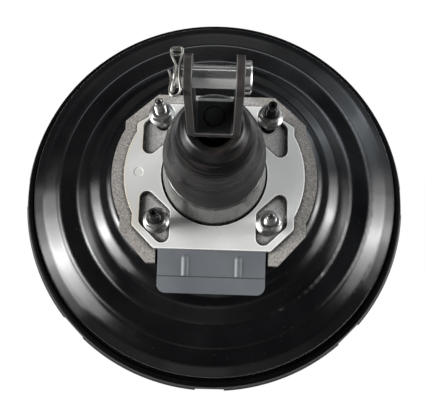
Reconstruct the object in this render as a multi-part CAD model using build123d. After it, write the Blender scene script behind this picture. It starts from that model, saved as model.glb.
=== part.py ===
from build123d import *
import math
import os

# Vacuum brake booster, millimetres.  The booster's axis is Z: +Z points rearward, to the pedal, and -Z
# forward, to the master cylinder.  z = 0 is the rear face of the bright mounting plate, which seats on
# the firewall, and the origin is the centre of the four firewall studs in that face.

# ---- driving dimensions ----
RIM_R = 149.0  # front shell's rim, flared from its crimped edge ...
EDGE_R = 147.6
HEM_R = 150.4  # ... to a hem with shallow notches
BEAD_R = 140.3  # rounded shoulder where the rear shell turns down to its rim
LEDGE_Z = -71.0  # underside of the rim, where the diaphragm's bead is seated
FLANGE_Z = -62.4  # rear shell's rim flange, under the crimped lugs
SHELL_T = 1.6  # sheet of the rear shell
FRONT_T = 1.8  # sheet of the front shell
FACE_Z = -8.5  # rear shell's mounting face, under gasket, bracket and plate
FRONT_Z = -129.0  # face on the front shell for the master cylinder
HEM_NOTCHES = 8

PLATE_T = 2.5  # bright mounting plate
BRACKET_T = 1.5  # grey bracket sheet under the plate
PLATE_HOLE_R = 37.7
PLATE_CORNERS = [(32.8, 51.8), (56.5, 36.5), (56.5, -38.3), (40.6, -54.2)]  # right-hand half
GASKET_CORNERS = [(42.6, 60.5), (65.5, 39.5), (65.5, -42.0), (46.0, -63.8)]
STUD_PITCH = 76.0  # square pattern of the firewall studs
STUD_R = 4.0  # M8
SHOULDER_R = 4.6  # knurled shoulder pressed into the sheet
THREAD_R = 3.8  # threaded lengths are drawn plain at this radius
STUD_TIP_Z = 38.0

SLEEVE_R = 36.2  # guide sleeve that carries the piston's tail and the boot
SLEEVE_NECK_R = 33.3  # it tapers to this under its turned-in lip
SLEEVE_TAPER_Z = 4.0
SLEEVE_LIP_R = 30.6
SLEEVE_T = 2.0
SLEEVE_Z = -12.1  # front end of the sleeve's flange
SLEEVE_TOP_Z = 31.0
TAIL_R = 24.0  # power piston's tubular tail
TAIL_TOP_Z = 38.0
TAIL_BORE_R = 19.0
FIT = 0.06  # radial clearance of every running fit
HUB_R = 46.0
HUB_Z = -42.0  # front face of the piston's hub, where the diaphragm plate bears
BOSS_R = 25.0
BOSS_Z = -62.0
DISC_BORE_R = 15.0
PLUNGER_R = 7.5
SEAT_Z = -4.0  # valve seats, just ahead of the poppet's lip

BALL_R = 4.5
BALL_Z = -7.0  # the push rod swivels about its ball here
ROD_R = 5.0
ROD_THREAD_R = 5.95
BOOT_TOP_Z = 99.0
BOOT_WALL = 1.8

CLEVIS_GAP = 20.8
CLEVIS_T = 4.0
CLEVIS_W = 21.0
WEB_Z = 113.0  # inside face of the clevis web
ARM_TOP_Z = 175.5
PIN_Z = 165.0
PIN_R = 5.5

CYLINDER_STUD_X = 41.0
STIFFENER_T = 3.0
VALVE_X = 58.0  # the check valve stands on a pad of the front shell, beside and above the axis
VALVE_Y = 70.0
PAD_Z = -121.5
NIPPLE_R = 4.75

os.makedirs("parts", exist_ok=True)
nodes = {}


def turned(*outline):
    """Solid of revolution about Z from a closed outline of (radius, z) corners."""
    face = make_face(Polyline(*[(r, 0, z) for r, z in outline], close=True))
    return revolve(face, Axis.Z)


def ring(r_in, r_out, z_low, z_high):
    """Plain washer or tube about Z."""
    return turned((r_in, z_low), (r_out, z_low), (r_out, z_high), (r_in, z_high))


def rod(r, z_low, z_high, x=0.0, y=0.0):
    """Plain round bar parallel to Z."""
    return Pos(x, y, (z_low + z_high) / 2) * Cylinder(r, z_high - z_low)


def hexagon(flats, z_low, z_high):
    """Hexagonal bar parallel to Z."""
    return Pos(0, 0, z_low) * extrude(RegularPolygon(flats / 2, 6, major_radius=False), z_high - z_low)


def pressed(path, radii, thickness):
    """Pressed sheet about Z: the path is the outside face in (radius, z), the sheet lies inside it."""
    line = FilletPolyline(*path, radius=radii)
    band = make_face(offset(line, amount=thickness, side=Side.RIGHT))
    return revolve(Plane.XZ * band, Axis.Z)


def corners(pitch_x, pitch_y):
    """The four corners of a rectangular pattern."""
    return [(i * pitch_x / 2, j * pitch_y / 2) for i in (-1, 1) for j in (-1, 1)]


def coil(radius, wire_r, z_low, z_high, turns):
    """Open coil spring of eight-sided wire about Z, its ends just inside the two heights."""
    rise = z_high - z_low - 2.2 * wire_r
    path = Pos(0, 0, z_low + 1.1 * wire_r) * Helix(pitch=rise / turns, height=rise, radius=radius)
    section = Plane(path @ 0, z_dir=path % 0) * RegularPolygon(wire_r, 8)
    return sweep(section, path=path, is_frenet=True)


# ---- casing ----
def rear_shell():
    """Black pressing: flat face, stepped cone, flat groove band, crowned annulus, rim flange."""
    path = [
        (SLEEVE_R + 0.9, FACE_Z),
        (76.5, FACE_Z),
        (84.5, -19.5),
        (91.5, -23.0),
        (103.6, -38.6),
        (118.8, -38.6),
        (121.2, -40.6),
        (131.5, -44.4),
        (BEAD_R, -51.6),
        (143.0, FLANGE_Z),
        (EDGE_R - FRONT_T - 0.3, FLANGE_Z),
    ]
    shell = pressed(path, [6, 5, 6, 3, 2, 3, 14, 2.5, 1.0], SHELL_T)
    for x, y in corners(STUD_PITCH, STUD_PITCH):
        shell -= rod(SHOULDER_R, FACE_Z - 5, FACE_Z + 5, x, y)
    return shell


def front_filled(inset):
    """The front shell as a filled solid, bounded by its outside face moved inward by the inset."""
    face = FilletPolyline(
        (EDGE_R, FLANGE_Z + 0.8),
        (RIM_R, FLANGE_Z - 3.2),
        (HEM_R, FLANGE_Z - 6.4),
        (HEM_R, LEDGE_Z),
        (139.5, LEDGE_Z),
        (137.0, -97.0),
        (127.0, -108.5),
        (116.0, -112.5),
        (68.0, -122.0),
        (60.0, FRONT_Z),
        (21.0, FRONT_Z),
        radius=[2, 1, 1.2, 1.9, 12, 8, 20, 5, 4],
    )
    if inset:
        face = offset(face, amount=inset, side=Side.RIGHT, closed=False)
    ends = sorted([face @ 0, face @ 1], key=lambda p: -p.X)
    closing = Polyline(
        (ends[0].X, ends[0].Y), (0, ends[0].Y), (0, ends[1].Y), (ends[1].X, ends[1].Y)
    )
    outline = make_face([*face.edges(), *closing.edges()])
    pad = rod(17.0 - inset, PAD_Z + inset, LEDGE_Z - 20, VALVE_X, VALVE_Y)
    return revolve(Plane.XZ * outline, Axis.Z) + pad


def front_shell():
    """Deep pressing with the master-cylinder face, the valve pad, and an edge rolled over the rim."""
    mouth = rod(EDGE_R - FRONT_T, LEDGE_Z + 4, FLANGE_Z + 1)
    shell = front_filled(0) - front_filled(FRONT_T) - mouth - rod(21.0, FRONT_Z - 1, FRONT_Z + 6)
    shell += ring(21.0, 22.8, FRONT_Z, FRONT_Z + 12)
    shell += turned(
        (143.9, FLANGE_Z),
        (EDGE_R - 0.1, FLANGE_Z),
        (EDGE_R - 0.1, FLANGE_Z + 0.6),
        (EDGE_R - 1.1, FLANGE_Z + 1.6),
        (143.9, FLANGE_Z + 1.6),
    )
    for i in range(HEM_NOTCHES):
        notch = Pos(RIM_R + 5, 0, FLANGE_Z - 7) * Box(10, 22, 10)
        shell -= Rot(0, 0, 360 / HEM_NOTCHES * i + 0.4) * notch
    for x in (-CYLINDER_STUD_X, CYLINDER_STUD_X):
        shell -= rod(SHOULDER_R, FRONT_Z - 3, FRONT_Z + 3, x)
    return shell - rod(9.0, PAD_Z - 3, PAD_Z + 3, VALVE_X, VALVE_Y)


def stiffener():
    """Thick ring behind the master-cylinder face, which spreads the load of its studs."""
    top = FRONT_Z + FRONT_T + STIFFENER_T
    plate = ring(23.0, 54.0, FRONT_Z + FRONT_T, top)
    for x in (-CYLINDER_STUD_X, CYLINDER_STUD_X):
        plate -= rod(SHOULDER_R, FRONT_Z, top + 1, x)
    return chamfer(plate.edges().filter_by(GeomType.CIRCLE).sort_by(Edge.length)[-1], 0.8)


def guide_sleeve():
    """Bare steel tube: flange behind the rear shell, tapered neck, lip turned in to hold the boot."""
    path = [
        (42.0, FACE_Z - SHELL_T),
        (SLEEVE_R, FACE_Z - SHELL_T),
        (SLEEVE_R, SLEEVE_TAPER_Z),
        (SLEEVE_NECK_R, SLEEVE_TOP_Z),
        (SLEEVE_LIP_R, SLEEVE_TOP_Z),
    ]
    line = FilletPolyline(*path, radius=[0.8, 20, 2.4])
    band = make_face(offset(line, amount=SLEEVE_T, side=Side.LEFT))
    return revolve(Plane.XZ * band, Axis.Z)


# ---- firewall side ----
def cornered_disc(right, disc_r, disc_y, round_r):
    """Plate outline from its right-hand corners, with a shallow disc standing out on both sides."""
    body = make_face(Polyline(*right, *[(-x, y) for x, y in reversed(right)], close=True))
    body += Circle(disc_r) & Rectangle(4 * disc_r, 2 * disc_y)
    outer = [v for v in body.vertices() if abs(v.Y) > disc_y + 1]
    return fillet(outer, round_r)


def stud_window():
    """Rounded parallelogram cut round the stud at +X -Y."""
    window = make_face(Polyline((30, -26.9), (51.9, -6.9), (51.9, -36.6), (30, -57.6), close=True))
    return fillet(window.vertices(), 5.3)


def windows():
    """The four windows, mirrored from one."""
    one = stud_window()
    pair = one + mirror(one, Plane.YZ)
    return pair + mirror(pair, Plane.XZ)


def plate_outline():
    """Outline of the bright mounting plate, with its bore and stud windows."""
    return cornered_disc(PLATE_CORNERS, 64.0, 30.0, 2.5) - Circle(PLATE_HOLE_R) - windows()


def mounting_plate():
    """Bright steel plate that bears on the firewall, with a shallow coined dimple."""
    plate = Pos(0, 0, -PLATE_T) * extrude(plate_outline(), PLATE_T)
    return plate - Pos(-53.8, 0, 0) * Cylinder(3.4, 0.6)


def tab_bracket():
    """Grey sheet under the plate; its lower edge is bent down and out into a stiffened tab."""
    outline = offset(cornered_disc(PLATE_CORNERS, 64.0, 30.0, 2.5), amount=-0.8)
    sheet = Pos(0, 0, -PLATE_T - BRACKET_T) * extrude(outline, BRACKET_T)
    half, top, bend = 37.4, -PLATE_T, (-72.4, -5.9)
    profile = [(-50.0, top), (-55.0, top), bend, (-84.2, bend[1] - 0.3)]
    line = FilletPolyline(*profile, radius=[2.0, 2.0])
    band = make_face(offset(line, amount=BRACKET_T, side=Side.LEFT))
    tab = extrude(Plane.YZ * band, half, both=True)
    mask = fillet(Rectangle(2 * half, 70).vertices(), 6.0)
    tab &= Pos(0, -49.2, -10) * extrude(mask, 12)
    fall = math.degrees(math.atan2(top - bend[1], -55.0 - bend[0]))
    swell = Pos(0, -1.6, 0) * Rot(90, 0, 0) * Cylinder(3.2, 12.0) + Pos(0, 4.4, 0) * Sphere(3.2)
    rib = Pos(0, 0, -2.0) * swell & Pos(0, 0, 1.1) * Box(8, 20, 3.8)
    for x in (-18.2, 18.8):
        tab += Pos(x, -64.6, (top + bend[1]) / 2) * Rot(fall, 0, 0) * rib
    sheet += tab
    return sheet - Pos(0, 0, -8) * extrude(Circle(PLATE_HOLE_R) + windows(), 10)


def gasket():
    """Foam gasket on the rear shell's face, wider than the plate, relieved under the tab."""
    outline = cornered_disc(GASKET_CORNERS, 73.4, 32.5, 2.0)
    outline -= Circle(SLEEVE_R + 2.9)
    outline -= Pos(0, -63.8) * Rectangle(2 * 39.3, 2 * 9.4)
    for x, y in corners(STUD_PITCH, STUD_PITCH):
        outline -= Pos(x, y) * Circle(STUD_R + 1.3)
    thick = -PLATE_T - BRACKET_T - FACE_Z
    return Pos(0, 0, FACE_Z) * extrude(outline, thick)


def firewall_stud(x, y):
    """M8 stud: head inside the shell, pressed shoulder, plain shank, thread, recessed dog point."""
    head = FACE_Z - SHELL_T
    tip = STUD_TIP_Z
    shape = turned(
        (0, head - 3),
        (8.5, head - 3),
        (8.5, head),
        (SHOULDER_R, head),
        (SHOULDER_R, FACE_Z),
        (STUD_R, FACE_Z),
        (STUD_R, 12.8),
        (THREAD_R, 13.0),
        (THREAD_R, tip - 6),
        (3.1, tip - 5),
        (3.1, tip - 0.4),
        (2.7, tip),
        (1.6, tip),
        (1.3, tip - 2),
        (0, tip - 2),
    )
    return Pos(x, y, 0) * shape


def flange_nut(x, y, seat, turn):
    """Hexagon nut on a round flange, run part-way down its stud."""
    bore = THREAD_R + 0.05
    flange = turned(
        (bore, 0), (8.6, 0), (8.95, 0.5), (8.95, 1.1), (6.9, 2.6), (6.9, 3.2), (bore, 3.2)
    )
    crown = turned((bore, 2.4), (8, 2.4), (8, 6.9), (6.4, 8.0), (bore, 8.0))
    crown &= Rot(0, 0, turn) * hexagon(13.0, 0, 9)
    return Pos(x, y, seat) * (flange + crown)


def dust_boot():
    """Moulded rubber dome over the push rod: foot clipped on the sleeve's lip, open stepped mouth."""
    path = [
        (SLEEVE_LIP_R + 0.2, 31.8),
        (32.2, 45.0),
        (29.2, 64.0),
        (24.4, 82.0),
        (19.6, 93.4),
        (13.6, BOOT_TOP_Z),
    ]
    skin = FilletPolyline(*path, radius=[50, 90, 60, 16])
    wall = revolve(Plane.XZ * make_face(offset(skin, amount=BOOT_WALL, side=Side.LEFT)), Axis.Z)
    mouth = turned(
        (11.0, BOOT_TOP_Z - 9),
        (12.4, BOOT_TOP_Z - 9),
        (12.4, BOOT_TOP_Z - 5),
        (15.0, BOOT_TOP_Z - 2.6),
        (14.0, BOOT_TOP_Z - 0.8),
        (13.0, BOOT_TOP_Z - 0.8),
        (11.0, BOOT_TOP_Z - 3.5),
    )
    foot = turned(
        (28.4, 26.0),
        (SLEEVE_LIP_R - 0.3, 26.0),
        (SLEEVE_LIP_R - 0.3, SLEEVE_TOP_Z + 0.1),
        (SLEEVE_LIP_R + 0.6, SLEEVE_TOP_Z + 0.1),
        (SLEEVE_LIP_R + 0.6, 33.0),
        (30.0, 34.0),
        (28.4, 32.0),
    )
    return wall + mouth + foot


# ---- inside the guide sleeve ----
def tail_seal():
    """Rubber lip seal that wipes the piston's tail."""
    back = SLEEVE_Z + 0.3
    return turned(
        (SLEEVE_R - SLEEVE_T - 0.05, back),
        (SLEEVE_R - SLEEVE_T - 0.05, back + 6.6),
        (31.4, back + 6.6),
        (31.4, back + 3.0),
        (28.0, back + 3.0),
        (25.4, back + 6.2),
        (TAIL_R + 0.3, back + 5.6),
        (26.6, back),
    )


def tail_bearing():
    """Plain bearing the tail slides in, with two grease grooves."""
    low, high = -5.0, 3.0
    bush = ring(TAIL_R + FIT, SLEEVE_R - SLEEVE_T - 0.05, low, high)
    for z in (low + 2.4, low + 4.8):
        bush -= ring(TAIL_R - 1, TAIL_R + 0.9, z, z + 0.9)
    return bush


def seal_retainer():
    """Spring ring that holds bearing and seal down in the sleeve."""
    return ring(26.0, SLEEVE_R - SLEEVE_T - 0.05, 3.1, 4.2)


# ---- piston, sliding on the axis ----
def power_piston():
    """Moulded piston: hub and boss in front, tubular tail behind, stepped bore for the valve gear."""
    shape = turned(
        (TAIL_BORE_R, TAIL_TOP_Z),
        (TAIL_R, TAIL_TOP_Z),
        (TAIL_R, -36.0),
        (HUB_R, -36.0),
        (HUB_R, HUB_Z),
        (BOSS_R, HUB_Z),
        (BOSS_R, BOSS_Z),
        (DISC_BORE_R, BOSS_Z),
        (DISC_BORE_R, -48.0),
        (PLUNGER_R, -48.0),
        (PLUNGER_R, -24.0),
        (12.5, -24.0),
        (12.5, SEAT_Z),
        (TAIL_BORE_R, SEAT_Z),
    )
    shape -= Pos(20, 0, -14) * Box(40, 12.6, 4)
    for i in range(4):
        shape -= Rot(0, 0, 90 * i + 45) * rod(2.2, BOSS_Z, -20, 19.5)
    return shape


def valve_plunger():
    """Steel spool in the piston: socket for the push rod's ball, key groove, air seat, nose."""
    r = PLUNGER_R - FIT
    socket = 4.8
    shape = turned(
        (0, -46.0),
        (r - 1.2, -46.0),
        (r, -44.8),
        (r, -17.5),
        (5.5, -17.5),
        (5.5, -10.2),
        (r, -10.2),
        (r, -8.0),
        (11.0, -8.0),
        (11.0, -4.8),
        (10.0, -3.45),
        (8.6, -3.45),
        (8.0, -4.68),
        (0, -4.68),
    )
    shape -= Pos(0, 0, BALL_Z) * Sphere(socket)
    return shape


def stop_key():
    """Forked flat key across the piston: it returns the plunger and stops on the sleeve's flange."""
    low, high, half = -15.4, -12.4, 6.0
    key = Pos(18.8, 0, (low + high) / 2) * Box(33.2, 2 * half, high - low)
    slot = Pos(0, 0, (low + high) / 2) * Box(22, 2 * 5.8, 5) + rod(5.8, low - 1, high + 1, 11)
    key = key - slot - rod(5.8, low - 1, high + 1)
    tip = key.edges().filter_by(Axis.Z).sort_by(Axis.X)[-2:]
    return fillet(tip, 2.0)


def poppet_valve():
    """Rubber poppet: flat sealing lip in front, rolling web, bead held in the piston's bore."""
    return turned(
        (8.5, -3.4),
        (13.5, -3.4),
        (13.5, -1.4),
        (12.4, -1.4),
        (14.0, 1.8),
        (18.9, 1.8),
        (18.9, 4.8),
        (15.0, 4.8),
        (15.0, 3.0),
        (13.2, 3.0),
        (11.3, -1.4),
        (8.5, -1.4),
    )


def poppet_retainer():
    """Pressed cup behind the poppet's bead; the rod's return spring stands on it."""
    return turned(
        (7.4, 5.0), (18.9, 5.0), (18.9, 9.5), (17.7, 9.5), (17.7, 6.4), (7.4, 6.4)
    )


def tail_filter():
    """Felt air filter in the tail's mouth."""
    return ring(12.6, TAIL_BORE_R - 0.1, 20.0, 35.0)


def diaphragm_plate():
    """Pressed steel disc that backs the diaphragm, its edge turned forward."""
    path = [(BOSS_R + 0.1, HUB_Z), (92.0, HUB_Z), (124.0, -56.0), (127.0, -62.5)]
    return pressed(path, [12, 4], 1.5)


def diaphragm():
    """Rolling rubber diaphragm: bead round the hub, sheet on the plate, lobe, bead on the ledge."""
    path = [
        (48.0, HUB_Z + 1.45),
        (92.3, HUB_Z + 1.45),
        (124.9, -54.6),
        (129.6, -62.0),
        (129.6, -73.6),
        (135.6, -73.6),
        (135.6, -66.0),
        (142.0, -66.0),
    ]
    sheet = pressed(path, [12, 4, 3, 2.8, 2.8, 2.0], 1.4)
    inner = ring(HUB_R + 0.4, 50.0, HUB_Z + 0.05, HUB_Z + 4.5)
    outer = chamfer(ring(139.6, 144.6, -69.0, -64.1).edges(), 0.8)
    return sheet + inner + outer


def output_rod():
    """Steel rod to the master cylinder, with the cup that traps the reaction disc."""
    return turned(
        (0, -56.1),
        (DISC_BORE_R - 0.4, -56.1),
        (DISC_BORE_R - 0.4, -60.0),
        (7.0, -61.0),
        (5.5, -66.0),
        (5.5, -133.0),
        (4.9, -134.0),
        (0, -134.0),
    )


def adjuster_tip():
    """Round-nosed screw in the end of the output rod."""
    return turned(
        (0, -134.0), (3.5, -134.0), (3.5, -140.0), (2.9, -141.4), (1.6, -142.2), (0, -142.4)
    )


def rod_retainer():
    """Spring plate on the boss that keeps the output rod's cup in its counterbore."""
    plate = ring(8.0, BOSS_R, BOSS_Z - 1.2, BOSS_Z)
    rim = ring(BOSS_R + 0.1, BOSS_R + 1.3, BOSS_Z - 1.2, BOSS_Z + 5)
    rim += ring(BOSS_R - 1, BOSS_R + 1.3, BOSS_Z - 1.2, BOSS_Z)
    for i in range(6):
        rim -= Rot(0, 0, 60 * i) * (Pos(BOSS_R + 1, 0, BOSS_Z + 3) * Box(8, 7, 6))
        plate -= Rot(0, 0, 60 * i) * (Pos(10, 0, BOSS_Z) * Box(8, 2.2, 6))
    return plate + rim


# ---- pedal side ----
def input_rod():
    """Push rod: ball, waist, plain shank, threaded end screwed into the clevis."""
    ball = Pos(0, 0, BALL_Z) * Sphere(BALL_R)
    bar = turned(
        (0, BALL_Z),
        (3.2, BALL_Z),
        (3.2, 2.0),
        (ROD_R, 4.0),
        (ROD_R, 60.0),
        (ROD_THREAD_R, 61.0),
        (ROD_THREAD_R, WEB_Z - 0.6),
        (ROD_THREAD_R - 0.8, WEB_Z + 0.4),
        (0, WEB_Z + 0.4),
    )
    return ball + bar


def spring_collar():
    """Turned collar on the rod that takes the rear end of the return spring."""
    return turned(
        (ROD_R, 29.0), (7.4, 29.0), (7.4, 31.0), (10.4, 31.0), (10.4, 33.0), (ROD_R, 33.0)
    )


def jam_nut():
    """Thin nut that locks the clevis on the rod."""
    low, high = WEB_Z - 4 - 6.8, WEB_Z - 4
    blank = turned(
        (ROD_THREAD_R, low),
        (8.4, low),
        (9.9, low + 0.9),
        (9.9, high - 0.9),
        (8.4, high),
        (ROD_THREAD_R, high),
    )
    return blank & Rot(0, 0, 8) * hexagon(17.0, low, high)


def clevis():
    """Forged-steel strip bent to a U; both arms are rounded over the pin holes."""
    out = CLEVIS_GAP / 2 + CLEVIS_T
    foot = WEB_Z - CLEVIS_T
    inner = CLEVIS_GAP / 2
    strip = Pos(0, 0, (foot + ARM_TOP_Z) / 2) * Box(2 * out, CLEVIS_W, ARM_TOP_Z - foot)
    gap = Pos(0, 0, WEB_Z + 40) * Box(2 * inner, CLEVIS_W + 2, 80)
    strip -= fillet(gap.edges().filter_by(Axis.Y), 1.5)
    strip = fillet(strip.edges().filter_by(Axis.Y).group_by(Axis.Z)[0], 5.0)
    ends = strip.edges().filter_by(Axis.X).group_by(Axis.Z)[-1]
    strip = fillet(ends, CLEVIS_W / 2 - 0.1)
    strip -= Pos(0, 0, PIN_Z) * Rot(0, 90, 0) * Cylinder(PIN_R + FIT, 4 * out)
    return strip - rod(ROD_THREAD_R + 0.05, foot - 1, WEB_Z + 1)


def clevis_pin():
    """Headed pin through both arms, cross-drilled for its clip."""
    outline = [
        (0, -19.4),
        (PIN_R - 0.9, -19.4),
        (PIN_R, -18.5),
        (PIN_R, 14.6),
        (8.0, 14.6),
        (8.0, 17.0),
        (7.2, 17.8),
        (0, 17.8),
    ]
    pin = Rot(0, 90, 0) * turned(*outline)
    pin -= Pos(-16.4, 0, 0) * Rot(90, 0, 0) * Cylinder(1.1, 20)
    return Pos(0, 0, PIN_Z) * pin


def pin_clip():
    """Spring-wire clip threaded through the pin, its eye and prongs beside the arm."""
    path = [
        (-16.4, -9.2, 0),
        (-16.4, 8.5, 0),
        (-20.6, 12.5, 0),
        (-20.2, 16.0, 0.4),
        (-15.7, 15.6, 1.4),
        (-15.7, 12.5, 2.0),
        (-20.8, 5.5, 2.0),
        (-21.2, -4.0, 0),
        (-18.6, -9.6, 0),
    ]
    line = FilletPolyline(*[(x, y, PIN_Z + z) for x, y, z in path], radius=1.3)
    return sweep(Plane(line @ 0, z_dir=line % 0) * RegularPolygon(0.7, 8), path=line)


# ---- master-cylinder side ----
def cylinder_stud(x):
    """M8 stud for the master cylinder: head inside, shoulder, plain shank, thread."""
    head = FRONT_Z + FRONT_T + STIFFENER_T
    shape = turned(
        (0, head + 3),
        (8.0, head + 3),
        (8.0, head),
        (SHOULDER_R, head),
        (SHOULDER_R, FRONT_Z - 0.2),
        (STUD_R, FRONT_Z - 0.2),
        (STUD_R, -141.0),
        (THREAD_R, -141.2),
        (THREAD_R, -150.2),
        (3.1, -151.0),
        (0, -151.0),
    )
    return Pos(x, 0, 0) * shape


def front_seal():
    """Seal in the front shell's neck, round the output rod."""
    return turned(
        (9.0, -126.0),
        (20.9, -126.0),
        (20.9, -118.4),
        (17.4, -118.4),
        (17.4, -123.0),
        (9.0, -123.0),
        (6.9, -119.4),
        (5.8, -120.2),
    )


def valve_grommet():
    """Rubber grommet that seals the check valve in its pad."""
    wall = PAD_Z + FRONT_T
    shape = turned(
        (7.0, PAD_Z - 2),
        (13.0, PAD_Z - 2),
        (13.0, PAD_Z),
        (9.0, PAD_Z),
        (9.0, wall),
        (12.0, wall),
        (11.2, wall + 2),
        (7.0, wall + 2),
    )
    return Pos(VALVE_X, VALVE_Y, 0) * shape


def check_valve_body():
    """Moulded check valve: barbed nipple for the vacuum hose, valve chamber, spigot in the grommet."""
    top = -123.6
    half = turned(
        (3.0, -116.0),
        (6.4, -116.0),
        (7.0, -117.0),
        (7.0, top),
        (11.0, top),
        (11.0, top - 3),
        (9.5, top - 3),
        (9.5, -137.0),
        (8.5, -138.0),
        (3.8, -138.0),
        (3.8, -140.0),
        (NIPPLE_R, -140.0),
        (NIPPLE_R, -157.2),
        (3.9, -158.0),
        (2.6, -158.0),
        (2.6, -134.0),
        (7.0, -134.0),
        (7.0, -124.5),
        (3.0, -124.5),
    )
    return Pos(VALVE_X, VALVE_Y, 0) * half


def check_valve_disc():
    """Rubber disc that closes the chamber's inner port."""
    return rod(5.5, -126.1, -124.6, VALVE_X, VALVE_Y)


# ---- one node per piece; identical fasteners share a node ----
far = STUD_PITCH / 2
nodes["rear_shell"] = rear_shell()
nodes["front_shell"] = front_shell()
nodes["guide_sleeve"] = guide_sleeve()
nodes["gasket"] = gasket()
nodes["tab_bracket"] = tab_bracket()
nodes["mounting_plate"] = mounting_plate()
nodes["zinc_studs"] = Compound([firewall_stud(-far, far), firewall_stud(far, -far)])
nodes["black_studs"] = Compound([firewall_stud(far, far), firewall_stud(-far, -far)])
nut_seats = [(-far, far, 14.0, 12), (far, far, 15.0, 40), (-far, -far, 14.5, 3), (far, -far, 15.5, 25)]
nodes["stud_nuts"] = Compound([flange_nut(*seat) for seat in nut_seats])
nodes["tail_seal"] = tail_seal()
nodes["tail_bearing"] = tail_bearing()
nodes["seal_retainer"] = seal_retainer()
nodes["dust_boot"] = dust_boot()

nodes["power_piston"] = power_piston()
nodes["diaphragm_plate"] = diaphragm_plate()
nodes["diaphragm"] = diaphragm()
nodes["reaction_disc"] = rod(DISC_BORE_R - 0.3, -56.05, -48.05)
nodes["output_rod"] = output_rod()
nodes["adjuster_tip"] = adjuster_tip()
nodes["rod_retainer"] = rod_retainer()
nodes["stop_key"] = stop_key()
nodes["poppet_valve"] = poppet_valve()
nodes["poppet_retainer"] = poppet_retainer()
nodes["poppet_spring"] = coil(9.9, 0.5, -1.3, 4.9, 3)
nodes["tail_filter"] = tail_filter()
nodes["valve_plunger"] = valve_plunger()
nodes["main_spring"] = coil(29.0, 2.1, FRONT_Z + FRONT_T + STIFFENER_T, HUB_Z - 1.5, 6)

nodes["input_rod"] = input_rod()
nodes["spring_collar"] = spring_collar()
nodes["input_return_spring"] = coil(9.0, 0.8, 6.4, 31.0, 6)
nodes["jam_nut"] = jam_nut()
nodes["clevis"] = clevis()
nodes["clevis_pin"] = clevis_pin()
nodes["pin_clip"] = pin_clip()

nodes["stiffener"] = stiffener()
nodes["cylinder_studs"] = Compound([cylinder_stud(x) for x in (-CYLINDER_STUD_X, CYLINDER_STUD_X)])
nodes["front_seal"] = front_seal()
nodes["valve_grommet"] = valve_grommet()
nodes["check_valve_body"] = check_valve_body()
nodes["check_valve_disc"] = check_valve_disc()
nodes["check_valve_spring"] = Pos(VALVE_X, VALVE_Y, 0) * coil(4.0, 0.45, -134.0, -126.1, 4)

for name, shape in nodes.items():
    export_step(shape, f"parts/{name}.step")
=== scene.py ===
import math

import bmesh
import bpy
from mathutils import Matrix, Vector


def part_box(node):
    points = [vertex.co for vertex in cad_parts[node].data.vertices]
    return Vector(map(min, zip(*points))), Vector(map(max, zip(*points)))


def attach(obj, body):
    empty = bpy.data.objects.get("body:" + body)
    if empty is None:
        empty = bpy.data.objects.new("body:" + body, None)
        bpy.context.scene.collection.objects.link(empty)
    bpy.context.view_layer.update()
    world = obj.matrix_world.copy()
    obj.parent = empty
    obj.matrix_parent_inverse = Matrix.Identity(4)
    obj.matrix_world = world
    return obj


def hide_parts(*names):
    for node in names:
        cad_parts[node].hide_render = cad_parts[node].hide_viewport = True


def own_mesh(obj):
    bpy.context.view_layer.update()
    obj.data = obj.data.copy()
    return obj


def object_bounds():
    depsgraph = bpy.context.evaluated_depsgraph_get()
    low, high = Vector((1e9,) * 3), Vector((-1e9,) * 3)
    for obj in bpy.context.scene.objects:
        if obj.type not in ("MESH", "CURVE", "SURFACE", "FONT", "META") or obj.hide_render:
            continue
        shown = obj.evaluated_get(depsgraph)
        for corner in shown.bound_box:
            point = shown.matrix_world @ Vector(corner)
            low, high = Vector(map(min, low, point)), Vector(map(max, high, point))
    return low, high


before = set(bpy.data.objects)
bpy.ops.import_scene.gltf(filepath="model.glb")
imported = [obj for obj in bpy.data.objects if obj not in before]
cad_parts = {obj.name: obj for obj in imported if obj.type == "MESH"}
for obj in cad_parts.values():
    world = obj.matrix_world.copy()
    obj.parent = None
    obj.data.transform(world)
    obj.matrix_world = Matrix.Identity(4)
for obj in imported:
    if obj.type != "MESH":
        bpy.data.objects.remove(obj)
cad_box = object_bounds()

# ---- camera ----
# A still camera almost straight down the booster's axis, from the side of the brake pedal. It
# stands nearly half a metre over the plate, on the tab's side of the axis, and leans 13 degrees.
MM = 0.001  # sizes are given in millimetres, and the scene is in metres
EYE_UP, EYE_BACK, EYE_SIDE = 468.4, 136.3, -1.0  # over the plate, towards the tab, beside the axis
TILT, ROLL, TURN = 13.36, -0.31, 2.14  # degrees
FOCAL_PX, WIDTH_PX, SENSOR = 688.0, 426.0, 36.0

camera_data = bpy.data.cameras.new("camera")
camera_data.sensor_width = SENSOR
camera_data.lens = FOCAL_PX * SENSOR / WIDTH_PX
camera_data.clip_start = 0.01
camera = bpy.data.objects.new("camera", camera_data)
camera.matrix_world = (
    Matrix.Rotation(math.radians(TURN), 4, "Z")
    @ Matrix.Translation((EYE_SIDE * MM, -EYE_BACK * MM, EYE_UP * MM))
    @ Matrix.Rotation(math.radians(TILT), 4, "X")
    @ Matrix.Rotation(math.radians(ROLL), 4, "Z")
)
bpy.context.scene.collection.objects.link(camera)
bpy.context.scene.camera = camera
bpy.context.scene.view_settings.view_transform = "Standard"


# ---- soft boxes ----
# Upright fabric soft boxes stand a metre off to the left and right of the booster, each with a
# dimmer foot, and a cool one behind its right shoulder. Dim cards fill in from front and back.
# Nothing bright hangs straight over it, so flat enamel stays black.
BOX_LAYERS = ((0.5, 0.4), (0.25, 0.9), (0.17, 1.5), (0.08, 2.4))  # share of light, share of width


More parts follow.
